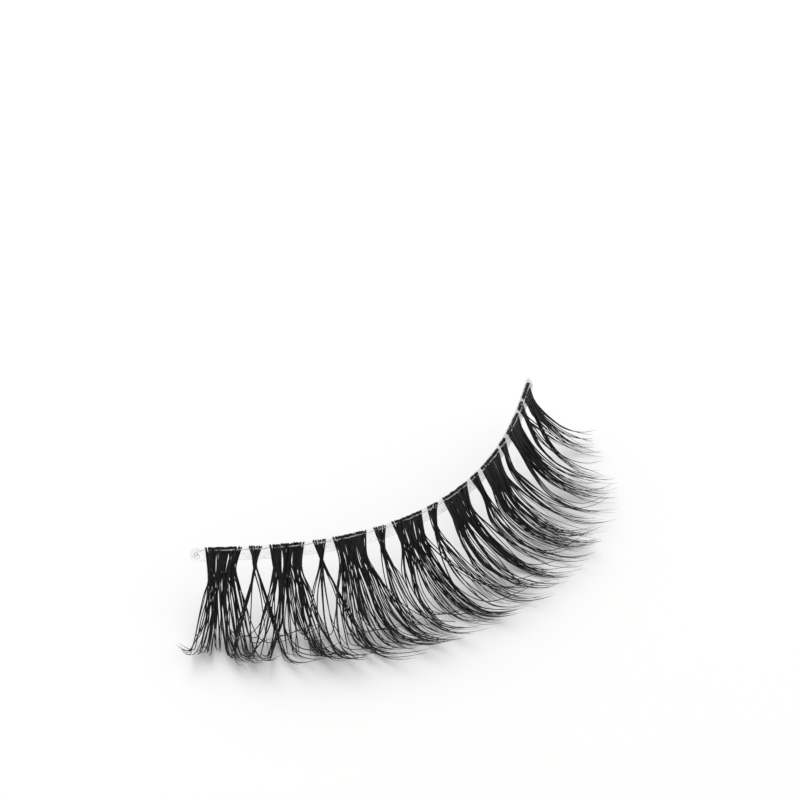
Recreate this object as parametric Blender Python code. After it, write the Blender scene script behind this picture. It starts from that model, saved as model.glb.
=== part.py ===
"""A false eyelash strip: a clear film band that carries fans of curled lashes.

The strip stands on the bottoms of its curled lashes, with the band up in the
air, as it does by itself on a table.  X runs along the chord of the band,
the lashes reach towards -Y, and Z is up.  The origin is the bottom centre of
the whole strip.
"""
import bmesh
import bpy
from math import cos, floor, pi, radians, sin
from mathutils import Vector

MM = 0.001

# Fans along the band: wide and narrow ones take turns, and the last wide one
# is a unit short.  A unit is one knotted tuft, and fans are built from units.
WIDE_FANS = 8
WIDE_UNITS = 3
LAST_UNITS = 2
WIDE_WIDTH = 2.67 * MM
NARROW_WIDTH = 0.95 * MM
LAST_WIDTH = 1.90 * MM
FAN_GAP = 0.416 * MM

# Band: a leaning ribbon of clear film that bends with the eyelid
END_TAB = 0.95 * MM
BAND_TURN = radians(76.2)
BAND_SLOPE = radians(66)
FILM_HEIGHT = 0.95 * MM
FILM_THICKNESS = 0.15 * MM
FILM_TOP = 0.03 * MM
FILM_FACETS = 35
TAB_ROUNDING = 0.45 * MM
TAB_TRIM = 0.3
TAB_STEP = 0.3

# Knots and tie thread at the top of the band
KNOT_HEIGHT = 0.17 * MM
KNOT_THICKNESS = 0.19 * MM
THREAD_DIAMETER = 0.09 * MM
THREAD_DEPTH = 0.22 * MM
THREAD_POINTS = 40
CAP_WELD = 0.001 * MM
PIECE_GAP = 0.05 * MM

# Lashes
ROOT_HEIGHT = 5.40 * MM
LONGEST_LASH = 11.7 * MM
LOCKS_A_UNIT = 3
LOCK_WIDTH = 0.36 * MM
LOCK_THICKNESS = 0.12 * MM
LAYER_SPREAD = 0.27 * MM
NARROW_WAIST = 1.2 * MM
WIDE_WAIST = 1.6 * MM
ROOT_SPREAD = 0.8
WAIST_PULL = 0.3
LAYERS_START = 0.95 * MM
LAYERS_FULL = 2.6 * MM
ROOT_LAYERING = 0.1

# Place along the band, lash length as a share of the longest, angle of the
# tip below the horizontal in degrees (a tip that points up is negative), and
# the sideways lean of a fan's outermost lashes, as width over length
#     place  length  tip   left   right
FAN_TABLE = (
    (0.00, 0.880, -76, -0.31, 0.26),
    (0.15, 0.932, -64, -0.27, 0.26),
    (0.30, 0.974, -48, -0.20, 0.27),
    (0.45, 0.991, -36, -0.17, 0.26),
    (0.60, 1.000, -30, -0.18, 0.22),
    (0.75, 0.983, -28, -0.21, 0.16),
    (0.88, 0.846, -24, -0.24, 0.09),
    (1.00, 0.675, -20, -0.24, 0.03),
)

# Place along a lock, its width and its thickness, as shares of its own size
#     place  width  thickness
LOCK_TABLE = (
    (0.00, 0.50, 0.90),
    (0.12, 0.60, 1.00),
    (0.26, 0.95, 1.00),
    (0.42, 1.00, 0.95),
    (0.57, 0.82, 0.88),
    (0.71, 0.62, 0.78),
    (0.83, 0.42, 0.62),
    (0.93, 0.22, 0.40),
)

# Curls are worked out by halving the range of how late a lash bends
BEND_RANGE = (0.3, 6.0)
BEND_TRIES = 30
ARC_STEPS = 280
CURL_STEPS = 60
CURL_STATIONS = 57
SIDE_MARGIN = 0.10


def fan_layout():
    """Name, start, end and unit count of each fan, from left to right."""
    fans = []
    start = END_TAB
    for number in range(1, WIDE_FANS + 1):
        last = number == WIDE_FANS
        width = LAST_WIDTH if last else WIDE_WIDTH
        units = LAST_UNITS if last else WIDE_UNITS
        fans.append((f"wide_fan_{number}", start, start + width, units))
        start += width + FAN_GAP
        if not last:
            fans.append((f"narrow_fan_{number}", start, start + NARROW_WIDTH, 1))
            start += NARROW_WIDTH + FAN_GAP
    return fans


FANS = fan_layout()
BAND_LENGTH = FANS[-1][2] + END_TAB


def heading(place):
    """Direction of the band in plan, at a distance along it."""
    share = min(1.0, max(0.0, place / BAND_LENGTH))
    return 0.5 * BAND_TURN * sin(0.5 * pi * (2.0 * share - 1.0))


def band_arc():
    """Plan points of the band's top line at even steps."""
    step = BAND_LENGTH / ARC_STEPS
    points = [Vector((0.0, 0.0, 0.0))]
    for index in range(ARC_STEPS):
        turn = heading((index + 0.5) * step)
        points.append(points[-1] + step * Vector((cos(turn), sin(turn), 0.0)))
    return points


ARC = band_arc()


def between(values, position):
    """Value at a fractional index of an even list."""
    index = min(len(values) - 2, max(0, floor(position)))
    share = position - index
    return values[index] * (1.0 - share) + values[index + 1] * share


def along(place):
    """Unit vector along the band."""
    turn = heading(place)
    return Vector((cos(turn), sin(turn), 0.0))


def outward(place):
    """Level unit vector from the band towards the lash tips."""
    turn = heading(place)
    return Vector((sin(turn), -cos(turn), 0.0))


def arc_point(place):
    """Point on the band's top line, which runs straight on past both ends."""
    inside = min(BAND_LENGTH, max(0.0, place))
    point = between(ARC, inside / BAND_LENGTH * ARC_STEPS)
    return point + (place - inside) * along(inside)


def band_point(place, down, front):
    """Point at a depth down the leaning film and a distance in front of it."""
    out = outward(place)
    up = Vector((0.0, 0.0, 1.0))
    fall = cos(BAND_SLOPE) * out - sin(BAND_SLOPE) * up
    face = sin(BAND_SLOPE) * out + cos(BAND_SLOPE) * up
    return arc_point(place) + down * fall + front * face


def table_row(table, place):
    """Row of a table at a place between its rows, without the place."""
    place = min(table[-1][0], max(table[0][0], place))
    for low, high in zip(table, table[1:]):
        if place <= high[0]:
            break
    share = (place - low[0]) / (high[0] - low[0])
    return [a + share * (b - a) for a, b in zip(low[1:], high[1:])]


def curl(length, tip_angle, bend):
    """Reach, fall and slope at even steps down one lash."""
    step = length / CURL_STEPS
    reach = 0.0
    fall = 0.0
    turn = tip_angle - BAND_SLOPE
    points = [Vector((reach, fall, BAND_SLOPE))]
    for index in range(CURL_STEPS):
        middle = BAND_SLOPE + turn * ((index + 0.5) / CURL_STEPS) ** bend
        reach += step * cos(middle)
        fall += step * sin(middle)
        slope = BAND_SLOPE + turn * ((index + 1) / CURL_STEPS) ** bend
        points.append(Vector((reach, fall, slope)))
    return points


def resting_curl(length, tip_angle):
    """The curl whose lowest point just reaches the surface the strip is on."""
    drop = ROOT_HEIGHT - LAYER_SPREAD
    gentle, sharp = BEND_RANGE
    for _ in range(BEND_TRIES):
        bend = 0.5 * (gentle + sharp)
        if max(point.y for point in curl(length, tip_angle, bend)) < drop:
            gentle = bend
        else:
            sharp = bend
    return curl(length, tip_angle, bend)


def curl_stations():
    """Curls at even places along the band, and a little past both ends."""
    curls = []
    for index in range(CURL_STATIONS):
        share = index / (CURL_STATIONS - 1) * (1.0 + 2.0 * SIDE_MARGIN) - SIDE_MARGIN
        length, tip, _, _ = table_row(FAN_TABLE, share)
        curls.append(resting_curl(length * LONGEST_LASH, radians(tip)))
    return curls


CURLS = curl_stations()
LASH_PLANE = 0.5 * FILM_THICKNESS + PIECE_GAP + 0.5 * LOCK_THICKNESS


def fringe_point(place, share, layer):
    """Point and face direction on the curled sheet that the lashes lie in."""
    station = (place / BAND_LENGTH + SIDE_MARGIN) / (1.0 + 2.0 * SIDE_MARGIN)
    position = station * (CURL_STATIONS - 1)
    index = min(CURL_STATIONS - 2, max(0, floor(position)))
    part = position - index
    low = between(CURLS[index], share * CURL_STEPS)
    high = between(CURLS[index + 1], share * CURL_STEPS)
    reach, fall, slope = low * (1.0 - part) + high * part
    out = outward(place)
    up = Vector((0.0, 0.0, 1.0))
    face = sin(slope) * out + cos(slope) * up
    point = arc_point(place) + reach * out - fall * up
    return point + (LASH_PLANE + layer) * face, face, reach


def band_bend(place):
    """Turn of the band for each metre of its length."""
    step = BAND_LENGTH / ARC_STEPS
    return (heading(place + step) - heading(place - step)) / (2.0 * step)


def lash_route(root, lean, pull, waist, shares):
    """Points and face directions of a lash that leans to one side.

    Lashes that lean further left lie further in front, so fans cross with a
    gap.  Near the root all lie close to the film.
    """
    length = table_row(FAN_TABLE, root / BAND_LENGTH)[0] * LONGEST_LASH
    steepest = max(max(-row[3], row[4]) for row in FAN_TABLE)
    bend = band_bend(root)
    route = []
    for share in shares:
        run = share * length
        ramp = min(1.0, max(0.0, (run - LAYERS_START) / (LAYERS_FULL - LAYERS_START)))
        ramp = ramp * ramp * (3.0 - 2.0 * ramp)
        layering = ROOT_LAYERING + (1.0 - ROOT_LAYERING) * ramp
        layer = -LAYER_SPREAD * lean / steepest * layering
        reach = fringe_point(root, share, 0.0)[2]
        sideways = lean * run + pull * min(1.0, run / waist)
        place = root + sideways / (1.0 + bend * reach)
        point, face, _ = fringe_point(place, share, layer)
        route.append((point, face))
    return route


def loft(name, rings, tip=None):
    """Closed mesh through rings of corners, with flat ends or a pointed one."""
    mesh = bpy.data.meshes.new(name)
    bm = bmesh.new()
    loops = [[bm.verts.new(corner) for corner in ring] for ring in rings]
    count = len(rings[0])
    for first, second in zip(loops, loops[1:]):
        for index in range(count):
            after = (index + 1) % count
            bm.faces.new((first[index], first[after], second[after], second[index]))
    bm.faces.new(loops[0])
    if tip is None:
        bm.faces.new(loops[-1])
    else:
        point = bm.verts.new(tip)
        for index in range(count):
            bm.faces.new((loops[-1][index], loops[-1][(index + 1) % count], point))
    bmesh.ops.recalc_face_normals(bm, faces=bm.faces)
    bmesh.ops.triangulate(bm, faces=bm.faces)
    bm.to_mesh(mesh)
    bm.free()
    return bpy.data.objects.new(name, mesh)


def section(point, side, face, width, thickness):
    """Four corners of a flat diamond across a lock."""
    across = 0.5 * width * side
    deep = 0.5 * thickness * face
    return (point - across, point + deep, point + across, point - deep)


def lock(name, unit_centre, lean, pull, waist):
    """A flat tapered lock of lashes, from its knot to its pointed tip."""
    root = unit_centre - lean * waist * ROOT_SPREAD
    shares = [row[0] for row in LOCK_TABLE] + [1.0]
    route = lash_route(root, lean, pull, waist, shares)
    rings = []
    for index, (_, width, thickness) in enumerate(LOCK_TABLE):
        point, face = route[index]
        before = route[max(0, index - 1)][0]
        run = (route[index + 1][0] - before).normalized()
        side = run.cross(face).normalized()
        face = side.cross(run)
        rings.append(section(point, side, face, width * LOCK_WIDTH, thickness * LOCK_THICKNESS))
    return loft(name, rings, tip=route[-1][0])


def knot_bar(name, start, end, units):
    """The row of knots that a fan hangs from, as one bar along the band."""
    rings = []
    steps = 2 * units
    for index in range(steps + 1):
        place = start + (end - start) * index / steps
        corners = []
        for down, front in ((-0.5, -0.5), (-0.5, 0.5), (0.5, 0.5), (0.5, -0.5)):
            depth = down * KNOT_HEIGHT
            forward = LASH_PLANE + 0.5 * (KNOT_THICKNESS - LOCK_THICKNESS) + front * KNOT_THICKNESS
            corners.append(band_point(place, depth, forward))
        rings.append(corners)
    return loft(name, rings)


def fuse(body, pieces, scratch):
    """Boolean union of a body and the pieces that overlap it."""
    operands = bpy.data.collections.new(body.name + "_locks")
    scratch.children.link(operands)
    scratch.objects.link(body)
    for piece in pieces:
        operands.objects.link(piece)
    union = body.modifiers.new("fuse", "BOOLEAN")
    union.operation = "UNION"
    union.operand_type = "COLLECTION"
    union.collection = operands
    union.solver = "EXACT"
    bpy.context.view_layer.update()
    evaluated = body.evaluated_get(bpy.context.evaluated_depsgraph_get())
    mesh = bpy.data.meshes.new_from_object(evaluated)
    body.modifiers.clear()
    body.data = mesh
    scratch.objects.unlink(body)
    for piece in pieces:
        bpy.data.objects.remove(piece)
    bpy.data.collections.remove(operands)
    return body


def fan(name, start, end, units, scratch):
    """One fan: its knots and locks, fused into one body."""
    width = (end - start) / units
    centre = 0.5 * (start + end)
    waist = NARROW_WAIST if units == 1 else WIDE_WAIST
    bar = knot_bar(name, start, end, units)
    locks = []
    for unit in range(units):
        unit_centre = start + (unit + 0.5) * width
        _, _, left, right = table_row(FAN_TABLE, unit_centre / BAND_LENGTH)
        pull = WAIST_PULL * (centre - unit_centre)
        for index in range(LOCKS_A_UNIT):
            lean = left + (right - left) * index / (LOCKS_A_UNIT - 1)
            locks.append(lock(f"{name}_lock", unit_centre, lean, pull, waist))
    return fuse(bar, locks, scratch)


def clear_band():
    """The film ribbon, with rounded tabs at both ends."""
    corner = [0.0, TAB_STEP * TAB_ROUNDING, TAB_ROUNDING]
    facets = [index * BAND_LENGTH / FILM_FACETS for index in range(1, FILM_FACETS)]
    far_corner = [BAND_LENGTH - place for place in reversed(corner)]
    rings = []
    for place in corner + facets + far_corner:
        from_edge = min(1.0, min(place, BAND_LENGTH - place) / TAB_ROUNDING)
        roundness = 1.0 - (1.0 - (1.0 - from_edge) ** 2) ** 0.5
        trim = TAB_TRIM * FILM_HEIGHT * roundness
        top = FILM_TOP + trim
        bottom = FILM_TOP + FILM_HEIGHT - trim
        half = 0.5 * FILM_THICKNESS
        rings.append((
            band_point(place, top, -half),
            band_point(place, top, half),
            band_point(place, bottom, half),
            band_point(place, bottom, -half),
        ))
    return loft("clear_band", rings)


def tie_thread(scratch):
    """The thread that runs along in front of the lash roots."""
    front = LASH_PLANE + 0.5 * LOCK_THICKNESS + PIECE_GAP + 0.5 * THREAD_DIAMETER
    curve = bpy.data.curves.new("tie_thread", "CURVE")
    curve.dimensions = "3D"
    curve.bevel_depth = 0.5 * THREAD_DIAMETER
    curve.bevel_resolution = 1
    curve.use_fill_caps = True
    spline = curve.splines.new("POLY")
    spline.points.add(THREAD_POINTS - 1)
    first = FANS[0][1]
    last = FANS[-1][2]
    for index, point in enumerate(spline.points):
        place = first + (last - first) * index / (THREAD_POINTS - 1)
        point.co = (*band_point(place, THREAD_DEPTH, front), 1.0)
    guide = bpy.data.objects.new("tie_thread_guide", curve)
    scratch.objects.link(guide)
    bpy.context.view_layer.update()
    evaluated = guide.evaluated_get(bpy.context.evaluated_depsgraph_get())
    mesh = bpy.data.meshes.new_from_object(evaluated)
    bpy.data.objects.remove(guide)
    bm = bmesh.new()
    bm.from_mesh(mesh)
    bmesh.ops.remove_doubles(bm, verts=bm.verts, dist=CAP_WELD)
    bmesh.ops.recalc_face_normals(bm, faces=bm.faces)
    bm.to_mesh(mesh)
    bm.free()
    mesh.shade_smooth()
    return bpy.data.objects.new("tie_thread", mesh)


def material(name, colour, roughness, alpha=1.0):
    """Plain Principled material."""
    made = bpy.data.materials.new(name)
    made.use_nodes = True
    shader = made.node_tree.nodes["Principled BSDF"]
    shader.inputs["Base Color"].default_value = (*colour, 1.0)
    shader.inputs["Roughness"].default_value = roughness
    shader.inputs["Metallic"].default_value = 0.0
    shader.inputs["Alpha"].default_value = alpha
    return made


def settle(objects):
    """Bring the bottom centre of the whole strip to the origin."""
    corners = [vertex.co for piece in objects for vertex in piece.data.vertices]
    low = Vector([min(corner[axis] for corner in corners) for axis in range(3)])
    high = Vector([max(corner[axis] for corner in corners) for axis in range(3)])
    centre = 0.5 * (low + high)
    shift = Vector((centre.x, centre.y, low.z))
    for piece in objects:
        for vertex in piece.data.vertices:
            vertex.co -= shift


def main():
    for old in list(bpy.data.objects):
        bpy.data.objects.remove(old)
    strip = bpy.data.collections.new("false_eyelash_strip")
    scratch = bpy.data.collections.new("cutters")
    bpy.context.scene.collection.children.link(strip)
    bpy.context.scene.collection.children.link(scratch)
    film = material("clear_film", (0.86, 0.87, 0.88), 0.2, alpha=0.35)
    thread = material("pale_thread", (0.62, 0.61, 0.60), 0.5)
    lash = material("black_lash", (0.018, 0.017, 0.018), 0.38)
    pieces = [(clear_band(), film), (tie_thread(scratch), thread)]
    for name, start, end, units in FANS:
        pieces.append((fan(name, start, end, units, scratch), lash))
    for piece, finish in pieces:
        piece.data.materials.clear()
        piece.data.materials.append(finish)
        strip.objects.link(piece)
    settle([piece for piece, _ in pieces])


main()
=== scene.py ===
"""A false eyelash strip: single lashes, knots, tie thread, clear film and glue.

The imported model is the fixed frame.  Each fan of plain locks is replaced by
its single lashes, which lie in the same curled sheet and hang from the same
knots, and the band and thread by finer ones in the same place.
"""
from math import cos, pi, radians, sin

import bpy
import numpy as np
from bpy.props import FloatProperty, FloatVectorProperty, IntProperty, PointerProperty
from mathutils import Matrix, Vector


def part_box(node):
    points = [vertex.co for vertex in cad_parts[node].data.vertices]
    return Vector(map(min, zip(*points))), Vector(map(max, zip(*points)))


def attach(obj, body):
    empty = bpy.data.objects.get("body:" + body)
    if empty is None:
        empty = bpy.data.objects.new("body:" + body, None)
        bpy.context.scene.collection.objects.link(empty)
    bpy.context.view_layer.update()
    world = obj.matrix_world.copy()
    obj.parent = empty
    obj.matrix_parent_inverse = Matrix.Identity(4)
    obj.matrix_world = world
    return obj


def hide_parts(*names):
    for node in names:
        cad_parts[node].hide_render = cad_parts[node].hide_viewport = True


bl_info = {
    "name": "False Eyelash Strip",
    "version": (1, 0, 0),
    "blender": (4, 5, 0),
    "location": "3D View > Sidebar > Lash Strip",
    "description": "Dresses a strip of false lashes with fibres, knots, thread, film and glue",
    "category": "Mesh",
}

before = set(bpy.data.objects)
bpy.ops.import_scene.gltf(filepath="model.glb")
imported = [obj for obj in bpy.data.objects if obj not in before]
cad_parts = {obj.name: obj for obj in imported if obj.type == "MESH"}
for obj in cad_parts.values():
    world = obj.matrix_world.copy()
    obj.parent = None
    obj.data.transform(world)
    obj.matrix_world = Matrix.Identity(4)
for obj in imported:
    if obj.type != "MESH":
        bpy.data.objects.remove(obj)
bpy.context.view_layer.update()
MM = 0.001
UP = np.array((0.0, 0.0, 1.0))

# Fans along the band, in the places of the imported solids
WIDE_FANS = 8
WIDE_UNITS = 3
LAST_UNITS = 2
WIDE_WIDTH = 2.67 * MM
NARROW_WIDTH = 0.95 * MM
LAST_WIDTH = 1.90 * MM
FAN_GAP = 0.416 * MM
END_TAB = 0.95 * MM
FILM_TOP = 0.03 * MM

# Place along the band, lash length as a share of the longest, and slope of the
# tip in degrees, which points up where it is negative
FAN_TABLE = np.array((
    (0.00, 0.880, -76),
    (0.15, 0.932, -64),
    (0.30, 0.974, -48),
    (0.45, 0.991, -36),
    (0.60, 1.000, -30),
    (0.75, 0.983, -28),
    (0.88, 0.846, -24),
    (1.00, 0.675, -20),
))

# Bundles of lashes in each fan, read from the photo.  Each row has the number
# of lashes and then, in hundredths, the place of the bundle's middle along the
# band in mm at each of the guide shares of the lash length, half its width in
# mm at half length and at the tips, its length as a share of the curl, and its
# extra reach.
GUIDE_SHARES = np.array((0.15, 0.30, 0.50, 0.75, 1.00))
GUIDES = {
    "wide_fan_1": (
        (6, 130, 114, 74, 16, -20, 24, 35, 108, 3),
        (5, 140, 145, 125, 75, 40, 14, 25, 98, 3),
        (8, 148, 158, 150, 122, 115, 17, 30, 92, 0),
        (9, 195, 195, 195, 190, 195, 34, 55, 88, 0),
        (8, 220, 220, 225, 255, 310, 20, 35, 102, 7),
        (8, 245, 260, 280, 312, 375, 24, 40, 103, 7),
        (6, 280, 300, 330, 368, 430, 20, 35, 105, 7),
        (3, 308, 342, 375, 415, 470, 12, 30, 104, 6),
    ),
    "narrow_fan_1": (
        (6, 440, 397, 328, 278, 260, 13, 20, 100, 5),
        (5, 458, 500, 552, 588, 650, 10, 25, 105, 6),
        (1, 452, 478, 490, 495, 510, 5, 10, 100, 4),
        (1, 444, 415, 392, 385, 390, 5, 10, 100, 3),
    ),
    "wide_fan_2": (
        (7, 590, 555, 495, 438, 415, 36, 40, 104, 7),
        (11, 625, 615, 580, 518, 495, 20, 30, 102, 6),
        (8, 660, 660, 645, 642, 650, 35, 40, 92, 1),
        (3, 650, 640, 620, 640, 800, 25, 30, 112, 3),
        (9, 700, 705, 720, 750, 810, 24, 40, 102, 1),
        (9, 730, 750, 772, 810, 880, 24, 40, 105, 2),
        (5, 765, 800, 830, 872, 950, 14, 40, 105, 5),
    ),
    "narrow_fan_2": (
        (1, 845, 812, 770, 740, 730, 5, 10, 100, 5),
        (2, 882, 845, 815, 792, 810, 14, 30, 102, 6),
        (3, 895, 890, 880, 895, 950, 28, 40, 104, 7),
        (7, 912, 972, 1028, 1070, 1160, 12, 25, 105, 9),
    ),
    "wide_fan_3": (
        (3, 1010, 985, 942, 925, 990, 25, 40, 104, 5),
        (9, 1050, 1038, 1005, 1002, 1080, 34, 40, 104, 5),
        (7, 1085, 1080, 1070, 1082, 1150, 16, 40, 100, 3),
        (8, 1100, 1110, 1115, 1125, 1200, 17, 30, 100, 2),
        (5, 1135, 1150, 1162, 1180, 1260, 24, 35, 103, 3),
        (13, 1170, 1195, 1205, 1235, 1330, 28, 35, 104, 3),
        (8, 1205, 1245, 1275, 1312, 1400, 28, 35, 104, 2),
        (4, 1225, 1272, 1320, 1362, 1450, 20, 50, 100, 0),
    ),
    "narrow_fan_3": (
        (3, 1332, 1312, 1305, 1322, 1390, 14, 30, 103, 3),
        (5, 1336, 1345, 1355, 1378, 1450, 25, 35, 105, 3),
        (5, 1342, 1385, 1412, 1438, 1520, 20, 40, 105, 3),
    ),
    "wide_fan_4": (
        (2, 1465, 1420, 1410, 1420, 1460, 14, 30, 100, 3),
        (9, 1505, 1488, 1456, 1462, 1540, 20, 35, 102, 0),
        (9, 1530, 1548, 1560, 1582, 1660, 24, 40, 102, 0),
        (12, 1560, 1590, 1620, 1652, 1720, 24, 35, 102, 0),
        (11, 1600, 1628, 1660, 1692, 1760, 24, 35, 102, 0),
        (8, 1635, 1665, 1695, 1732, 1810, 15, 35, 102, 0),
        (1, 1665, 1730, 1820, 1920, 2000, 5, 10, 90, 0),
    ),
    "narrow_fan_4": (
        (2, 1740, 1705, 1678, 1682, 1730, 10, 30, 100, 0),
        (4, 1746, 1742, 1755, 1782, 1840, 20, 30, 102, 0),
        (4, 1750, 1788, 1820, 1850, 1910, 20, 30, 102, 0),
        (3, 1756, 1822, 1865, 1902, 1970, 14, 40, 102, 0),
    ),
    "wide_fan_5": (
        (8, 1915, 1895, 1890, 1912, 1980, 25, 40, 102, 0),
        (8, 1950, 1940, 1950, 1972, 2030, 28, 40, 102, 0),
        (10, 1990, 2000, 2015, 2040, 2080, 24, 35, 102, 0),
        (17, 2048, 2070, 2102, 2138, 2168, 24, 30, 102, 0),
        (4, 2088, 2112, 2142, 2175, 2210, 25, 45, 102, 0),
        (2, 2105, 2155, 2215, 2275, 2330, 15, 30, 100, 0),
    ),
    "narrow_fan_5": (
        (5, 2225, 2180, 2190, 2230, 2260, 26, 35, 103, 0),
        (6, 2255, 2235, 2245, 2275, 2300, 26, 35, 103, 0),
        (4, 2285, 2290, 2295, 2315, 2340, 20, 35, 103, 0),
    ),
    "wide_fan_6": (
        (9, 2360, 2315, 2342, 2380, 2420, 28, 35, 103, 0),
        (12, 2395, 2380, 2385, 2410, 2440, 26, 30, 103, 0),
        (12, 2435, 2435, 2440, 2450, 2475, 26, 35, 103, 0),
        (9, 2475, 2480, 2495, 2515, 2535, 26, 40, 103, 0),
        (4, 2505, 2535, 2555, 2575, 2595, 22, 40, 103, 0),
        (3, 2520, 2580, 2620, 2645, 2665, 18, 40, 103, 0),
    ),
    "narrow_fan_6": (
        (5, 2625, 2605, 2610, 2630, 2640, 18, 30, 103, 0),
        (4, 2635, 2645, 2660, 2670, 2680, 20, 30, 103, 0),
        (4, 2650, 2710, 2740, 2755, 2770, 16, 30, 103, 0),
    ),
    "wide_fan_7": (
        (6, 2810, 2765, 2715, 2715, 2735, 12, 35, 103, 0),
        (12, 2850, 2855, 2858, 2840, 2820, 20, 30, 103, 0),
        (14, 2895, 2898, 2895, 2885, 2875, 22, 40, 103, 0),
        (10, 2940, 2942, 2935, 2925, 2920, 22, 45, 103, 0),
        (3, 2970, 3000, 3015, 3015, 3010, 18, 40, 103, 0),
    ),
    "narrow_fan_7": (
        (6, 3110, 3035, 3030, 3030, 3020, 14, 30, 103, 0),
        (6, 3120, 3220, 3290, 3320, 3320, 12, 25, 100, 0),
        (2, 3115, 3120, 3135, 3140, 3150, 22, 30, 100, 0),
    ),
    "wide_fan_8": (
        (9, 3260, 3195, 3115, 3045, 2995, 12, 35, 103, 0),
        (12, 3305, 3315, 3360, 3360, 3330, 16, 25, 100, 0),
        (6, 3335, 3360, 3405, 3410, 3385, 14, 30, 97, 0),
        (2, 3350, 3405, 3460, 3475, 3460, 18, 30, 92, 0),
    ),
}

# Seeds of the random draws
FAN_SEED, THREAD_SEED, FILM_SEED = 7100, 5200, 3300

# Steps along the band and down the curled sheet, and the search for each curl
ARC_STEPS = 560
CURL_STEPS = 90
CURL_STATIONS = 57
CURL_END = 1.2
SIDE_MARGIN = 0.10
BEND_RANGE = (0.3, 6.0)
BEND_TRIES = 30

# Habits of the lashes, in mm where they are lengths.  A pair for graded() has
# the value at nought and what is added at one.  Fineness is nought for the
# stout lashes at the left end and one for the finest, at the right end.
FINENESS_START, FINENESS_RUN = 0.25, 0.6
# Spread at the waist, loose lashes, mixing and roots to a knot
NARROW_HABITS = (0.07, 3, 0.10, 3)
WIDE_HABITS = (0.22, 8, 0.16, 5)
NARROW_WAIST = (0.15, 0.15)
WIDE_WAIST = (0.72, 0.08)
UNIT_GAP = (0.02, 0.08)
FINE_GAP = 0.04
ROOT_MIXING = 0.12
ROOT_NOISE = 0.2
ROOT_REACH = 0.96
NARROW_PULL, WIDE_PULL = 0.80, 0.85
PULL_START, PULL_RUN = 0.55, 0.30
LOOSENESS = 1.35
CLUMP = 2.5
SMALL_CLUMP, SMALL_BUNDLE = 1.4, 6
CLUMP_NOISE = 0.35
CROSSING = (0.35, 0.12)
CLING = (0.86, -0.20)
ENDING_NOISE = 0.4
HALF_NOISE, LATE_NOISE, TIP_NOISE = 0.018, 0.024, 0.11
SWEEP, SWEEP_MOST, SWEEP_NOISE = 0.35, 0.6, 0.07
SWEEP_START, SWEEP_STOP = 0.78, 1.3
WAVE, WAVE_GROWTH = 0.045, (1.0, 0.5)
PACE, STRAY_PACE = (1.1, 2.6), (0.8, 1.6)
SHORTENING, SHORTENING_POWER = (0.19, 0.38), 1.4
EXTRA_NOISE, EXTRA_LEAST, EXTRA_OVER = (0.012, 0.35), -0.02, 0.008
LIFT, DEPTH_NOISE = (0.20, -0.09), 0.035
THICKNESS_NOISE, FINENESS_NOISE = 0.07, 0.25
STRAY_DRIFT = np.array((0.0, 0.10, 0.30, 0.70, 1.10))
STRAY_CALM, STRAY_HOOK_CALM = (1.0, -0.6), (1.0, -0.55)
STRAY_SIDES, STRAY_HOOK, STRAY_LEFTMOST = (0.35, 0.65), (0.3, 2.4), 0.6
STRAY_START = (0.55, 0.75)
STRAY_LENGTH = (0.86, 0.99)
STRAY_EXTRA, STRAY_EXTRA_MOST = (0.01, 0.02), 0.03
STRAY_LIFT_LEAST, STRAY_LIFT_MOST = 0.3, (2.4, -1.4)
STRAY_DEPTH, STRAY_THICKNESS, STRAY_FINENESS = 0.05, (0.80, 1.00), 0.4

# Form of each lash, in shares of its length and thickness
LASH_RINGS = 36
TUBE_SIDES = 6
EASE_PASSES = 4
WAVE_FADE = (0.08, 0.20)
LAYER_FADE, LAYER_SHARE, DEPTH_SHARE = (0.09, 0.16), (0.08, 0.72), (0.7, 1.3)
FULL_LEAN = 0.9 * MM
LIFT_FADE, LIFT_POWER = (0.2, 0.8), 2.5
POINT_POWER, POINT_ROUNDING = (2.2, 9.0), 0.9
THINNING, THINNING_POWER = (0.14, 0.36), 0.6
SWELLING, SWELLING_START, SWELLING_RUN = (0.38, 0.14), 0.12, (0.20, 0.42)
RADIUS_SHARE = (0.08, 0.92)
CLEARANCE = 0.01 * MM

# Knots, thread, film and loops
BLOB_RINGS = 6
MISSING_KNOTS, LONG_KNOTS = 0.12, 0.28
THREAD_OVERRUN = 0.45 * MM
THREAD_PITCH = 0.30 * MM
THREAD_STEPS, THREAD_WEAVES = 1100, 140
FILM_STEPS, FILM_WAVES = 420, 90
# Share down the film and share of half its thickness, round one section
FILM_SECTION = (
    (0.00, 0.00), (0.02, 0.35), (0.07, 0.55), (0.50, 0.42), (0.86, 0.45),
    (0.94, 0.80), (0.98, 0.70), (1.00, 0.00), (0.98, -0.95), (0.94, -1.00),
    (0.50, -1.00), (0.07, -1.00), (0.02, -0.95),
)
LOOP_STEPS, LOOP_RADIUS = 60, 0.021 * MM

# Stage
FLOOR_SIZE = 2.0
KEY_SIZE, KEY_PLACE = 0.95, (0.28, 0.90, 0.74)
IMAGE_SIDE = 800.0
SENSOR_WIDTH = 36.0


def length_setting(name, description, millimetres):
    """Setting for a length."""
    return FloatProperty(name=name, description=description, default=millimetres * MM, unit="LENGTH")


def angle_setting(name, description, degrees):
    """Setting for an angle."""
    return FloatProperty(name=name, description=description, default=radians(degrees), subtype="ANGLE")


def number_setting(name, description, value):
    """Setting for a plain number."""
    return FloatProperty(name=name, description=description, default=value)


def colour_setting(name, description, colour):
    """Setting for a colour."""
    return FloatVectorProperty(
        name=name, description=description, default=colour, size=3, subtype="COLOR",
    )


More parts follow.
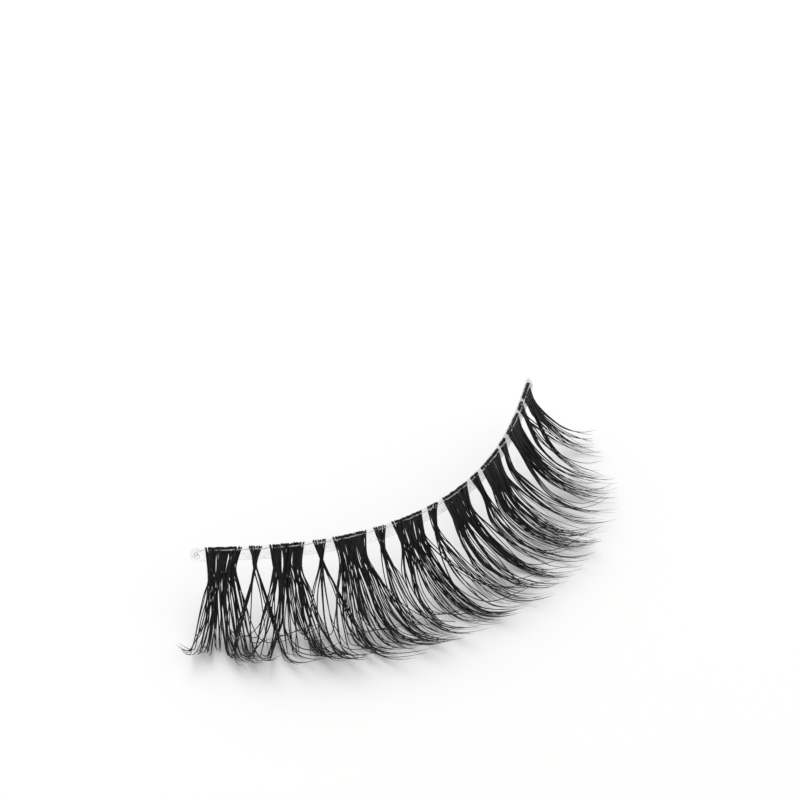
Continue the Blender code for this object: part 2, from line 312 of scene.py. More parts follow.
class BandShape(bpy.types.PropertyGroup):
    """Sizes of the film band, its thread and its glue."""

    turn: angle_setting("Turn", "Angle that the band turns through from end to end", 76.2)
    slope: angle_setting("Slope", "Angle of the film below the horizontal", 66.0)
    film_height: length_setting("Film Height", "Height of the clear film, down its slope", 0.95)
    film_thickness: length_setting("Film Thickness", "Thickness of the clear film", 0.15)
    tab_rounding: length_setting("Tab Rounding", "Length of the end tabs' rounded corners", 0.45)
    thread_diameter: length_setting("Thread Diameter", "Diameter over both plies", 0.09)
    thread_depth: length_setting("Thread Depth", "How far down the film the thread runs", 0.14)
    glue_beads: IntProperty(
        name="Glue Beads", description="Number of small beads of dried glue on the film",
        default=40,
    )


class LashShape(bpy.types.PropertyGroup):
    """Sizes of the lashes and the places of their knots."""

    root_height: length_setting("Root Height", "Height of the knots above the floor", 5.40)
    longest: length_setting("Longest Lash", "Length of the longest lash along its curl", 11.7)
    diameter: length_setting("Diameter", "Diameter of a stout lash below its thick root", 0.083)
    plane: length_setting("Plane", "Distance of the lashes in front of the film's middle", 0.185)
    layer_spread: length_setting(
        "Layer Spread", "Depth between straight lashes and the most leaning", 0.27,
    )


class Finish(bpy.types.PropertyGroup):
    """Colours of the strip and the floor."""

    lash: colour_setting("Lash", "Colour of the darkest lashes", (0.0012, 0.0012, 0.0012))
    lash_pale: colour_setting("Pale Lash", "Colour of the palest lashes", (0.0260, 0.0255, 0.0255))
    film: colour_setting("Film", "Colour of the clear film", (0.52, 0.53, 0.53))
    thread: colour_setting("Thread", "Colour of the tie thread", (0.80, 0.80, 0.79))
    floor: colour_setting("Floor", "Colour of the floor", (0.93, 0.93, 0.925))


class Studio(bpy.types.PropertyGroup):
    """Camera and lights."""

    azimuth: angle_setting("Azimuth", "Camera direction round the strip", -40.0)
    elevation: angle_setting("Elevation", "Camera angle above the floor", 36.9)
    distance: length_setting("Distance", "Camera distance from the middle of the band", 350.0)
    pixels_per_metre: number_setting("Scale", "Pixels to a metre at the band's middle", 14231.0)
    aim_x: number_setting("Aim X", "Pixel column of the middle of the band", 426.7)
    aim_y: number_setting("Aim Y", "Pixel row of the middle of the band", 506.8)
    key_power: FloatProperty(
        name="Key Power", description="Power of the soft light behind the strip",
        default=9.8, subtype="POWER", unit="POWER",
    )
    sky: number_setting("Sky", "Strength of the even white surroundings", 0.72)


# Fringe


def smooth(values, start, run):
    """Eased ramp from 0 at the start to 1 at the end of the run."""
    values = np.clip((values - start) / run, 0.0, 1.0)
    return values * values * (3.0 - 2.0 * values)


def graded(pair, amount):
    """The first of a pair, with the second added in the given amount."""
    return pair[0] + pair[1] * amount


def evenly(count):
    """Even places between -1 and 1."""
    return (np.arange(count) + 0.5) / count * 2.0 - 1.0


def normal_rows(rows):
    """Rows made one unit long."""
    return rows / np.linalg.norm(rows, axis=-1, keepdims=True)


class Fringe:
    """The bent band and the curled sheet that its lashes lie in."""

    def __init__(self, band, lashes):
        self.band = band
        self.lashes = lashes
        self.fans = fan_layout()
        self.length = self.fans[-1][2] + END_TAB
        self.places = np.linspace(0.0, self.length, ARC_STEPS + 1)
        step = self.length / ARC_STEPS
        middles = self.heading(0.5 * (self.places[1:] + self.places[:-1]))
        runs = np.stack([np.cos(middles), np.sin(middles)], axis=1) * step
        self.arc = np.concatenate([np.zeros((1, 2)), np.cumsum(runs, axis=0)])
        self.curls = self.resting_curls()
        self.shift = np.zeros(3)
        self.shift = self.place_in_frame()

    def heading(self, place):
        share = np.clip(place / self.length, 0.0, 1.0)
        return 0.5 * self.band.turn * np.sin(0.5 * pi * (2.0 * share - 1.0))

    def along(self, place):
        turn = self.heading(place)
        return np.stack([np.cos(turn), np.sin(turn), np.zeros_like(turn)], axis=-1)

    def outward(self, place):
        turn = self.heading(place)
        return np.stack([np.sin(turn), -np.cos(turn), np.zeros_like(turn)], axis=-1)

    def arc_point(self, place):
        """Points on the knots' line, which runs straight on past both ends."""
        inside = np.clip(place, 0.0, self.length)
        x = np.interp(inside, self.places, self.arc[:, 0])
        y = np.interp(inside, self.places, self.arc[:, 1])
        z = np.full_like(x, self.lashes.root_height)
        points = np.stack([x, y, z], axis=-1)
        return points + (place - inside)[..., None] * self.along(inside) + self.shift

    def film_axes(self, place):
        """Directions down the film and out of its face."""
        out = self.outward(place)
        slope = self.band.slope
        return cos(slope) * out - sin(slope) * UP, sin(slope) * out + cos(slope) * UP

    def band_point(self, place, down, front):
        """Points at a depth down the leaning film and in front of its middle."""
        place, down, front = np.broadcast_arrays(*np.atleast_1d(place, down, front))
        fall, face = self.film_axes(place)
        return self.arc_point(place) + down[..., None] * fall + front[..., None] * face

    def place_in_frame(self):
        """Shift that brings the band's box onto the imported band's box."""
        low, high = (np.array(corner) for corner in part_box("clear_band"))
        down = np.array((FILM_TOP, FILM_TOP + self.band.film_height))
        half = 0.5 * self.band.film_thickness
        places = self.places[:, None, None]
        corners = self.band_point(places, down[None, :, None], np.array((-half, half)))
        corners = corners.reshape(-1, 3)
        return 0.5 * (low + high - corners.min(axis=0) - corners.max(axis=0))

    def curl(self, length, tip, power):
        """Reach, fall and slope at even steps down one lash and on past its tip."""
        turn = tip - self.band.slope
        ends = np.linspace(0.0, CURL_END, CURL_STEPS + 1)
        middles = 0.5 * (ends[1:] + ends[:-1])
        slopes = self.band.slope + turn * middles ** power
        step = length * CURL_END / CURL_STEPS
        reach = np.concatenate([[0.0], np.cumsum(np.cos(slopes)) * step])
        fall = np.concatenate([[0.0], np.cumsum(np.sin(slopes)) * step])
        return np.stack([reach, fall, self.band.slope + turn * ends ** power], axis=-1)

    def resting_curls(self):
        """Curls at even places, each just long enough to stand on the floor."""
        drop = self.lashes.root_height - self.lashes.layer_spread
        curls = []
        for share in np.linspace(-SIDE_MARGIN, 1.0 + SIDE_MARGIN, CURL_STATIONS):
            length, tip = (np.interp(share, FAN_TABLE[:, 0], column) for column in FAN_TABLE.T[1:])
            gentle, sharp = BEND_RANGE
            for _ in range(BEND_TRIES):
                power = 0.5 * (gentle + sharp)
                made = self.curl(length * self.lashes.longest, radians(tip), power)
                if made[:, 1].max() < drop:
                    gentle = power
                else:
                    sharp = power
            curls.append(made)
        return np.array(curls)

    def sheet(self, place, share):
        """Reach, fall and slope of the curled sheet at places and lash shares."""
        station = (place / self.length + SIDE_MARGIN) / (1.0 + 2.0 * SIDE_MARGIN)
        station = np.clip(station, 0.0, 1.0) * (CURL_STATIONS - 1)
        row = np.minimum(station.astype(int), CURL_STATIONS - 2)
        across = (station - row)[..., None]
        steps = np.clip(share / CURL_END, 0.0, 1.0) * CURL_STEPS
        col = np.minimum(steps.astype(int), CURL_STEPS - 1)
        down = (steps - col)[..., None]
        near = self.curls[row, col] * (1.0 - down) + self.curls[row, col + 1] * down
        far = self.curls[row + 1, col] * (1.0 - down) + self.curls[row + 1, col + 1] * down
        return near * (1.0 - across) + far * across

    def sheet_point(self, place, share, layer, extra):
        """Points a distance in front of the sheet, and the sheet's face there."""
        reach, fall, slope = np.moveaxis(self.sheet(place, share), -1, 0)
        reach = reach * (1.0 + extra)
        out = self.outward(place)
        face = np.sin(slope)[..., None] * out + np.cos(slope)[..., None] * UP
        point = self.arc_point(place) + reach[..., None] * out - fall[..., None] * UP
        return point + (self.lashes.plane + layer)[..., None] * face, face


def fan_layout():
    """Name, start, end and unit count of each fan, from left to right."""
    fans = []
    start = END_TAB
    for number in range(1, WIDE_FANS + 1):
        last = number == WIDE_FANS
        width = LAST_WIDTH if last else WIDE_WIDTH
        units = LAST_UNITS if last else WIDE_UNITS
        fans.append((f"wide_fan_{number}", start, start + width, units))
        start += width + FAN_GAP
        if not last:
            fans.append((f"narrow_fan_{number}", start, start + NARROW_WIDTH, 1))
            start += NARROW_WIDTH + FAN_GAP
    return fans


# Lashes


def plan_bundle(guide, spread, fineness, rng):
    """Places in mm at the guide shares, and habits, of the lashes of one bundle."""
    count = int(guide[0])
    middles = guide[1:6]
    half_way, half_end, length, extra = guide[6:]
    half_way *= LOOSENESS
    # Lashes cling together in twos and threes, and in small bundles hardly at all
    clumps = max(1, round(count / (SMALL_CLUMP if count <= SMALL_BUNDLE else CLUMP)))
    clump = np.arange(count) * clumps // count
    steady = evenly(clumps) + rng.normal(0.0, CLUMP_NOISE / clumps, clumps)
    crossed = np.where(rng.uniform(size=clumps) < graded(CROSSING, fineness), -steady, steady)
    ending = 0.6 * crossed + rng.normal(0.0, ENDING_NOISE, clumps)
    at_waist = spread * rng.uniform(-1.0, 1.0, count)
    cling = graded(CLING, fineness)
    at_half = half_way * (cling * steady[clump] + (1.0 - cling) * evenly(count))
    at_half += rng.normal(0.0, HALF_NOISE, count)
    late = (0.6 * half_way + 0.4 * half_end) * (0.75 * crossed + 0.25 * ending)
    places = np.stack([
        middles[0] + at_waist,
        middles[1] + 0.57 * at_waist + 0.43 * at_half,
        middles[2] + at_half,
        middles[3] + late[clump] + rng.normal(0.0, LATE_NOISE, count),
        middles[4] + half_end * ending[clump] + rng.normal(0.0, TIP_NOISE, count),
    ], axis=1)
    side = np.sign(middles[4] - middles[3]) * (1.0 - fineness)
    sweep = np.clip(np.abs(rng.normal(SWEEP, SWEEP, clumps)), 0.0, SWEEP_MOST)
    most = extra + EXTRA_OVER
    return {
        "places": places,
        "sweep": side * sweep[clump] * MM + rng.normal(0.0, SWEEP_NOISE, count) * MM,
        "sweep_start": np.full(count, SWEEP_START),
        "wave": rng.normal(0.0, WAVE, count) * graded(WAVE_GROWTH, fineness) * MM,
        "pace": rng.uniform(*PACE, count),
        "phase": rng.uniform(size=count),
        "length": length - graded(SHORTENING, fineness) * rng.uniform(size=count) ** SHORTENING_POWER,
        "extra": np.clip(extra + rng.normal(0.0, graded(EXTRA_NOISE, extra), count), EXTRA_LEAST, most),
        "lift": np.abs(rng.normal(0.0, graded(LIFT, fineness), count)) * MM,
        "depth": rng.normal(0.0, DEPTH_NOISE, count) * MM,
        "thick": rng.normal(1.0, THICKNESS_NOISE, count),
        "fine": np.clip(fineness + rng.normal(0.0, FINENESS_NOISE, count), 0.0, 1.0),
    }


def plan_strays(guides, count, spread, fineness, rng):
    """Loose lashes that leave their bundle and curl away."""
    middles = guides[rng.integers(0, len(guides), count), 1:6]
    drift = rng.normal(size=(count, 1)) * STRAY_DRIFT * graded(STRAY_CALM, fineness)
    hook = rng.choice((-1.0, 1.0), count, p=STRAY_SIDES) * rng.uniform(*STRAY_HOOK, count)
    hook *= graded(STRAY_HOOK_CALM, fineness)
    return {
        "places": middles + drift + rng.uniform(-spread, spread, (count, 1)),
        "sweep": np.maximum(hook, STRAY_LEFTMOST - middles[:, 4]) * MM,
        "sweep_start": rng.uniform(*STRAY_START, count),
        "wave": rng.normal(0.0, WAVE, count) * MM,
        "pace": rng.uniform(*STRAY_PACE, count),
        "phase": rng.uniform(size=count),
        "length": rng.uniform(*STRAY_LENGTH, count),
        "extra": np.clip(np.abs(rng.normal(*STRAY_EXTRA, count)), 0.0, STRAY_EXTRA_MOST),
        "lift": rng.uniform(STRAY_LIFT_LEAST, graded(STRAY_LIFT_MOST, fineness), count) * MM,
        "depth": rng.normal(STRAY_DEPTH, STRAY_DEPTH, count) * MM,
        "thick": rng.uniform(*STRAY_THICKNESS, count),
        "fine": np.full(count, STRAY_FINENESS * fineness),
    }


def plan_fan(fringe, fan, rng):
    """Places and habits of all the lashes of one fan."""
    name, start, end, units = fan
    narrow = units == 1
    spread, strays, mixing, together = NARROW_HABITS if narrow else WIDE_HABITS
    middle = 0.5 * (start + end)
    half = 0.5 * (end - start)
    fineness = np.clip((middle / fringe.length - FINENESS_START) / FINENESS_RUN, 0.0, 1.0)
    guides = np.array(GUIDES[name]) / np.array([1.0] + [100.0] * 9)
    parts = [plan_bundle(guide, spread, fineness, rng) for guide in guides]
    parts.append(plan_strays(guides, strays, spread, fineness, rng))
    plan = {key: np.concatenate([part[key] for part in parts]) for key in parts[0]}
    plan["places"] = places = plan["places"] * MM
    # Drawn in to a waist in each unit, and tied straight back from there, so
    # that a lash which leans left hangs from the right side of its unit
    count = len(plan["thick"])
    aim = 2.0 * places[:, 0] - places[:, 1]
    mixed = places[:, 0] + rng.normal(0.0, mixing, count) * MM
    even = (np.argsort(np.argsort(mixed)) + 0.5) / count
    unit = np.minimum((even * units).astype(int), units - 1)
    within = even * units - unit
    waist_middle = np.median(places[:, 0])
    if narrow:
        gaps = 0.0
        waist = graded(NARROW_WAIST, fineness) * MM
    else:
        gaps = (rng.uniform(*UNIT_GAP, units) + FINE_GAP * fineness)[unit]
        waist = graded(WIDE_WAIST, fineness) * half
        waist_middle = 0.5 * (waist_middle + middle)
    drawn = (unit + gaps + (1.0 - 2.0 * gaps) * within) / units
    places[:, 0] = waist_middle + waist * (2.0 * drawn - 1.0)
    tied = np.empty(count)
    tied[np.lexsort((aim + rng.normal(0.0, ROOT_MIXING * MM, count), unit))] = np.arange(count)
    # A few roots to a knot, with small gaps that show at the sides of a fan
    knot = (np.floor(tied / together) + 0.5) * together
    aside = np.abs((tied + 0.5) / count * 2.0 - 1.0)
    pull = NARROW_PULL if narrow else WIDE_PULL * smooth(aside, PULL_START, PULL_RUN)
    tied = tied + pull * (knot - 0.5 - tied)
    tied = (tied + 0.5 + rng.normal(0.0, ROOT_NOISE, count)) / count
    plan["root"] = middle + ROOT_REACH * half * (2.0 * np.clip(tied, 0.0, 1.0) - 1.0)
    return plan


def eased(rows, passes):
    """Rows smoothed along their length, with their ends kept."""
    for _ in range(passes):
        inner = 0.25 * rows[:, :-2] + 0.5 * rows[:, 1:-1] + 0.25 * rows[:, 2:]
        rows = np.concatenate([rows[:, :1], inner, rows[:, -1:]], axis=1)
    return rows


def lash_paths(fringe, plan):
    """Points, radii and face directions of a fan's lashes."""
    shape = fringe.lashes
    habits = {name: values[:, None] for name, values in plan.items() if values.ndim == 1}
    rings = np.linspace(0.0, 1.0, LASH_RINGS)
    share = rings[None, :] * habits["length"]
    guides = np.concatenate([habits["root"], plan["places"]], axis=1)
    onward = (CURL_END - GUIDE_SHARES[-1]) / (GUIDE_SHARES[-1] - GUIDE_SHARES[-2])
    last = guides[:, -1:] + (guides[:, -1:] - guides[:, -2:-1]) * onward
    guides = np.concatenate([guides, last], axis=1)
    marks = np.concatenate([[0.0], GUIDE_SHARES, [CURL_END]])
    place = np.array([np.interp(row, marks, guide) for row, guide in zip(share, guides)])
    place = eased(place, EASE_PASSES)
    start = habits["sweep_start"]
    place += habits["sweep"] * np.clip((share - start) / (1.0 - start), 0.0, SWEEP_STOP) ** 2
    turns = share * habits["pace"] + habits["phase"]
    place += habits["wave"] * np.sin(2.0 * pi * turns) * smooth(share, *WAVE_FADE)
    ramp = smooth(share, *LAYER_FADE)
    lean = plan["places"][:, 2:3] - plan["places"][:, 0:1]
    side = np.clip(lean / FULL_LEAN, -1.0, 1.0)
    layer = -shape.layer_spread * side * graded(LAYER_SHARE, ramp)
    layer += habits["depth"] * graded(DEPTH_SHARE, ramp)
    layer += habits["lift"] * smooth(share, *LIFT_FADE) ** LIFT_POWER
    points, faces = fringe.sheet_point(place, share, layer, habits["extra"])
    # Pointed tips, thinner in fine lashes, and thick roots that pack the bar
    fine = habits["fine"]
    taper = 1.0 - graded(THINNING, fine ** THINNING_POWER) * rings
    taper = taper * (1.0 - rings ** graded(POINT_POWER, (1.0 - fine) ** 2)) ** POINT_ROUNDING
    swollen = 1.0 - smooth(share, SWELLING_START * fine, graded(SWELLING_RUN, fine))
    taper = taper * (1.0 + graded(SWELLING, fine) * swollen)
    radii = 0.5 * shape.diameter * habits["thick"] * graded(RADIUS_SHARE, taper)
    points[..., 2] = np.maximum(points[..., 2], radii + CLEARANCE)
    return points, radii, faces


def closed_mesh(name, corners, polygons, tones=None):
    """Smooth mesh, with a tone for each strand or blob if there are any."""
    mesh = bpy.data.meshes.new(name)
    mesh.from_pydata(corners.reshape(-1, 3).tolist(), [], polygons)
    mesh.validate()
    if tones is not None:
        each = corners.size // 3 // len(tones)
        tone = mesh.attributes.new("strand_tone", "FLOAT", "POINT")
        tone.data.foreach_set("value", np.repeat(tones, each).astype(np.float32))
    mesh.shade_smooth()
    return mesh


def tube_mesh(name, points, radii, faces=UP, tones=None):
    """One mesh of closed tubes that follow rows of points."""
    tubes, rings = points.shape[:2]
    runs = normal_rows(np.gradient(points, axis=1))
    across = normal_rows(np.cross(runs, faces))[..., None, :]
    deep = np.cross(across, runs[..., None, :])
    angles = (np.arange(TUBE_SIDES) * 2.0 * pi / TUBE_SIDES)[:, None]
    circle = np.cos(angles) * across + np.sin(angles) * deep
    radii = np.broadcast_to(radii, (tubes, rings))[..., None, None]
    corners = points[..., None, :] + radii * circle
    index = np.arange(tubes * rings * TUBE_SIDES).reshape(tubes, rings, TUBE_SIDES)
    after = np.roll(index, -1, axis=2)
    quads = np.stack([index[:, :-1], after[:, :-1], after[:, 1:], index[:, 1:]], axis=-1)
    polygons = quads.reshape(-1, 4).tolist() + index[:, 0, ::-1].tolist() + index[:, -1].tolist()
    return closed_mesh(name, corners, polygons, tones)


def add_piece(name, mesh, material, slot, *nodes):
    """Object for a mesh, riding on the strip and finished with a material."""
    piece = bpy.data.objects.new(name, mesh)
    bpy.context.scene.collection.objects.link(piece)
    mesh.materials.append(material)
    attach(piece, "root")
    if nodes:
        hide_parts(*nodes)
    return piece


# Knots, thread, film and glue


def blob_mesh(name, centres, frames, sizes, sides, tones=None):
    """One mesh of small closed rounded blobs, each with its own three sizes."""
    ball = [(0.0, 0.0, 1.0)]
    for high in np.linspace(0.0, pi, BLOB_RINGS + 1)[1:-1]:
        for turn in np.arange(sides) * 2.0 * pi / sides:
            ball.append((sin(high) * cos(turn), sin(high) * sin(turn), cos(high)))
    ball = np.array(ball + [(0.0, 0.0, -1.0)])
    last = len(ball) - 1
    rim = last - sides
    polygons = []
    for side in range(sides):
        after = (side + 1) % sides
        polygons += [(0, 1 + side, 1 + after), (last, rim + after, rim + side)]
        for low in range(1, rim, sides):
            polygons.append((low + side, low + sides + side, low + sides + after, low + after))
    local = ball[None, :, :] * sizes[:, None, :]
    corners = centres[:, None, :] + np.einsum("nvk,nkj->nvj", local, frames)
    everything = []
    for base in range(0, len(centres) * len(ball), len(ball)):
        everything += [tuple(base + corner for corner in polygon) for polygon in polygons]
    return closed_mesh(name, corners, everything, tones)


def band_frames(fringe, places, twist):
    """Across, face and down directions at places on the band, turned in the face."""
    fall, face = fringe.film_axes(places)
    across = fringe.along(places)
    aside, ahead = np.sin(twist)[:, None], np.cos(twist)[:, None]
    return np.stack([ahead * across + aside * fall, face, ahead * fall - aside * across], axis=1)


def knot_mesh(fringe, name, fan, plan, rng):
    """A loop of fibre over the band's top edge for each lash, in slanting rows."""
    _, start, end, units = fan
    roots = np.sort(plan["root"])
    roots = roots[rng.uniform(size=len(roots)) > MISSING_KNOTS]
    count = len(roots)
    slant = np.modf((roots - start) / (end - start) * units)[0] - 0.5
    centres = fringe.band_point(
        roots + rng.normal(0.0, 0.015 * MM, count),
        (-0.025 + 0.045 * slant) * MM + rng.normal(0.0, 0.010 * MM, count),
        fringe.lashes.plane + rng.normal(0.0, 0.02 * MM, count),
    )
    frames = band_frames(fringe, roots, rng.normal(0.0, 0.35, count))
    long = rng.uniform(size=count) < LONG_KNOTS
    sizes = np.stack([
        rng.uniform(0.036, 0.070, count) * MM,
        rng.uniform(0.060, 0.090, count) * MM + 0.045 * MM * long,
        rng.uniform(0.034, 0.056, count) * MM + 0.060 * MM * long,
    ], axis=1)
    centres += frames[:, 2] * (0.055 * MM * long)[:, None]
    return blob_mesh(name, centres, frames, sizes, 8, rng.uniform(size=count))


def thread_mesh(fringe, rng):
    """Two twisted plies that dip behind and over the lash roots."""
    first = fringe.fans[0][1] - THREAD_OVERRUN
    last = fringe.fans[-1][2] + THREAD_OVERRUN
    place = np.linspace(first, last, THREAD_STEPS)
    ply = 0.25 * fringe.band.thread_diameter
    weaves = rng.normal(size=THREAD_WEAVES)
    weave = np.interp(place, np.linspace(first, last, THREAD_WEAVES), weaves)
    plies = []
    for turn in (0.0, pi):
        twist = 2.0 * pi * place / THREAD_PITCH + turn
        down = fringe.band.thread_depth + ply * np.sin(twist) + 0.012 * MM * weave
        front = fringe.lashes.plane + 0.062 * MM + 0.035 * MM * weave + ply * np.cos(twist)
        plies.append(fringe.band_point(place, down, front))
    return tube_mesh("twisted_thread", np.array(plies), ply)


def film_mesh(fringe, rng):
    """The clear ribbon, with a slightly thicker, wavy lower edge."""
    band = fringe.band
    places = np.linspace(0.0, fringe.length, FILM_STEPS)
    edge = np.clip(np.minimum(places, fringe.length - places) / band.tab_rounding, 0.0, 1.0)
    trim = 0.3 * band.film_height * (1.0 - np.sqrt(1.0 - (1.0 - edge) ** 2))
    waves = np.linspace(0.0, fringe.length, FILM_WAVES)
    wavy = np.interp(places, waves, rng.normal(0.0, 0.010 * MM, FILM_WAVES))
    ripple = np.interp(places, waves, rng.normal(0.0, 0.004 * MM, FILM_WAVES))
    top = FILM_TOP + trim
    bottom = FILM_TOP + band.film_height - trim - np.abs(wavy)
    sections = []
    for down_share, front_share in FILM_SECTION:
        down = top + (bottom - top) * down_share
        front = 0.5 * band.film_thickness * front_share + (ripple if front_share > 0.0 else 0.0)
        sections.append(fringe.band_point(places, down, front))
    corners = np.stack(sections, axis=1)
    index = np.arange(corners.size // 3).reshape(corners.shape[:2])
    after = np.roll(index, -1, axis=1)
    quads = np.stack([index[:-1], index[1:], after[1:], after[:-1]], axis=-1).reshape(-1, 4)
    ends = [index[0].tolist(), index[-1, ::-1].tolist()]
    return closed_mesh("band_film", corners, quads.tolist() + ends)


def glue_mesh(fringe, rng):
    """Small flat beads of dried glue, most of them between the fans."""
    band = fringe.band
    gaps = [0.5 * END_TAB]
    for before, after in zip(fringe.fans, fringe.fans[1:]):
        gaps.append(0.5 * (before[2] + after[1]))
    gaps.append(fringe.length - 0.5 * END_TAB)
    count = band.glue_beads
    places = rng.choice(gaps, count) + rng.normal(0.0, 0.14 * MM, count)
    places = np.clip(places, 0.12 * MM, fringe.length - 0.12 * MM)
    down = FILM_TOP + band.film_height * rng.uniform(0.12, 0.9, count)
    centres = fringe.band_point(places, down, 0.22 * band.film_thickness)
    frames = band_frames(fringe, places, rng.uniform(0.0, pi, count))
    wide = rng.uniform(0.03, 0.10, count) * MM
    thick = rng.uniform(0.02, 0.05, count) * MM
    sizes = np.stack([wide, thick, wide * rng.uniform(0.5, 1.0, count)], axis=1)
    return blob_mesh("glue_beads", centres, frames, sizes, 10)


def loop_mesh(fringe, rng):
    """Loops of clear thread: larger ones on the end tabs, small ones on the bars."""
    loops = []
    turns = np.linspace(0.0, 1.0, LOOP_STEPS)
    for end, side in ((0.0, 1.0), (fringe.length, -1.0)):
        for _ in range(3):
            middle = end + side * rng.uniform(0.30, 0.62) * MM
            down = rng.uniform(0.30, 0.62) * MM
            size = rng.uniform(0.10, 0.22) * MM
            start = rng.uniform(0.0, 2.0 * pi)
            angle = start + turns * rng.uniform(1.5, 2.2) * pi
            grow = size * (0.6 + 0.5 * turns)
            place = middle + side * grow * np.cos(angle)
            depth = down + grow * np.sin(angle)
            front = (0.10 + 0.05 * np.sin(3.0 * angle)) * MM
            loops.append(fringe.band_point(place, depth, front))
    for _, start, end, units in fringe.fans:
        for _ in range(2):
            middle = rng.uniform(start, end)
            angle = rng.uniform(0.0, 2.0 * pi) + turns * rng.uniform(0.8, 1.6) * pi
            size = rng.uniform(0.05, 0.11 if units > 1 else 0.14) * MM
            place = middle + size * np.cos(angle)
            depth = rng.uniform(0.04, 0.22) * MM + 0.8 * size * np.sin(angle)
            front = fringe.lashes.plane + (0.075 + 0.03 * np.sin(2.0 * angle)) * MM
            loops.append(fringe.band_point(place, depth, front))
    return tube_mesh("thread_loops", np.array(loops), LOOP_RADIUS)


# Materials

COLOUR_SOCKETS = ("Colour", "Dark", "Pale")


def new_node(tree, kind, place, inputs=None, **values):
    """Node with its place, settings and input values."""
    node = tree.nodes.new(f"ShaderNode{kind}")
    node.location = place
    for name, value in values.items():
        setattr(node, name, value)
    for name, value in (inputs or {}).items():
        node.inputs[name].default_value = value
    return node


def join(tree, *pairs):
    """Links from the first to the second socket of each pair."""
    for source, target in pairs:
        tree.links.new(source, target)


def new_group(name, inputs, outputs):
    """Node group with named inputs and outputs, and the sockets at its two ends."""
    group = bpy.data.node_groups.new(name, "ShaderNodeTree")
    for way, labels in (("INPUT", inputs), ("OUTPUT", outputs)):
        for label in labels:
            kind = "NodeSocketColor" if label in COLOUR_SOCKETS else "NodeSocketFloat"
            group.interface.new_socket(label, in_out=way, socket_type=kind)
    start, end = (group.nodes.new(f"NodeGroup{kind}") for kind in ("Input", "Output"))
    start.location, end.location = (-900, 0), (700, 0)
    return group, start.outputs, end.inputs


def fibre_group():
    """Tone, gloss and fine relief of silky black fibre."""
    group, given, made = new_group(
        "Silky Fibre",
        ("Strand Tone", "Dark", "Pale", "Grain Scale"),
        ("Colour", "Roughness", "Height"),
    )
    spots = new_node(group, "TexCoord", (-900, -300))
    grain = new_node(group, "TexNoise", (-650, -250), {"Detail": 3.0})
    blend = new_node(group, "Math", (-400, 50), {1: 0.35}, operation="MULTIPLY_ADD")
    lower = new_node(
        group, "Math", (-200, 50), {1: 0.17}, operation="SUBTRACT", use_clamp=True,
    )
    tint = new_node(group, "Mix", (0, 120), data_type="RGBA")
    gloss = new_node(group, "MapRange", (0, -120), {"To Min": 0.30, "To Max": 0.48})
    join(
        group,
        (spots.outputs["Object"], grain.inputs["Vector"]),
        (given["Grain Scale"], grain.inputs["Scale"]),
        (grain.outputs["Fac"], blend.inputs[0]),
        (given["Strand Tone"], blend.inputs[2]),
        (blend.outputs[0], lower.inputs[0]),
        (lower.outputs[0], tint.inputs["Factor"]),
        (given["Dark"], tint.inputs[6]),
        (given["Pale"], tint.inputs[7]),
        (lower.outputs[0], gloss.inputs["Value"]),
        (tint.outputs[2], made["Colour"]),
        (gloss.outputs["Result"], made["Roughness"]),
        (grain.outputs["Fac"], made["Height"]),
    )
    return group


def haze_group():
    """Uneven clearness of thin plastic and dried glue."""
    group, given, made = new_group(
        "Clear Plastic",
        ("Colour", "Patch Scale", "Clearest", "Haziest"),
        ("Colour", "Alpha", "Roughness", "Height"),
    )
    spots = new_node(group, "TexCoord", (-900, -300))
    patches = new_node(
        group, "TexNoise", (-650, -250), {"Detail": 4.0, "Roughness": 0.6},
    )
    haze = new_node(group, "MapRange", (-350, 0), {"From Min": 0.38, "From Max": 0.66})
    gloss = new_node(group, "MapRange", (-350, -260), {"To Min": 0.08, "To Max": 0.30})
    join(
        group,
        (spots.outputs["Object"], patches.inputs["Vector"]),
        (given["Patch Scale"], patches.inputs["Scale"]),
        (patches.outputs["Fac"], haze.inputs["Value"]),
        (given["Clearest"], haze.inputs["To Min"]),
        (given["Haziest"], haze.inputs["To Max"]),
        (patches.outputs["Fac"], gloss.inputs["Value"]),
        (given["Colour"], made["Colour"]),
        (haze.outputs["Result"], made["Alpha"]),
        (gloss.outputs["Result"], made["Roughness"]),
        (patches.outputs["Fac"], made["Height"]),
    )
    return group


def group_node(tree, name, build, inputs):
    """Node for the group of that name, which is built the first time."""
    group = bpy.data.node_groups.get(name) or build()
    return new_node(tree, "Group", (-600, 0), inputs, node_tree=group)


def new_material(name):
    """Material with a Principled shader, and its tree and shader."""
    material = bpy.data.materials.new(name)
    material.use_nodes = True
    tree = material.node_tree
    return material, tree, tree.nodes["Principled BSDF"]


def bump(tree, shader, height, distance, strength):
    """Bump from a height socket into a shader."""
    relief = new_node(
        tree, "Bump", (-250, -350), {"Distance": distance, "Strength": strength},
    )
    join(tree, (height, relief.inputs["Height"]), (relief.outputs["Normal"], shader.inputs["Normal"]))


def fibre_material(name, specular, grain_scale):
    """Silky black fibre, each strand with its own tone."""
    finish = bpy.context.scene.lash_finish
    material, tree, shader = new_material(name)
    strand = new_node(tree, "Attribute", (-800, 0), attribute_name="strand_tone")
    fibre = group_node(tree, "Silky Fibre", fibre_group, {
        "Dark": (*finish.lash, 1.0),
        "Pale": (*finish.lash_pale, 1.0),
        "Grain Scale": grain_scale,
    })
    join(
        tree,
        (strand.outputs["Fac"], fibre.inputs["Strand Tone"]),
        (fibre.outputs["Colour"], shader.inputs["Base Color"]),
        (fibre.outputs["Roughness"], shader.inputs["Roughness"]),
    )
    bump(tree, shader, fibre.outputs["Height"], 0.004 * MM, 0.3)
    shader.inputs["Specular IOR Level"].default_value = specular
    return material


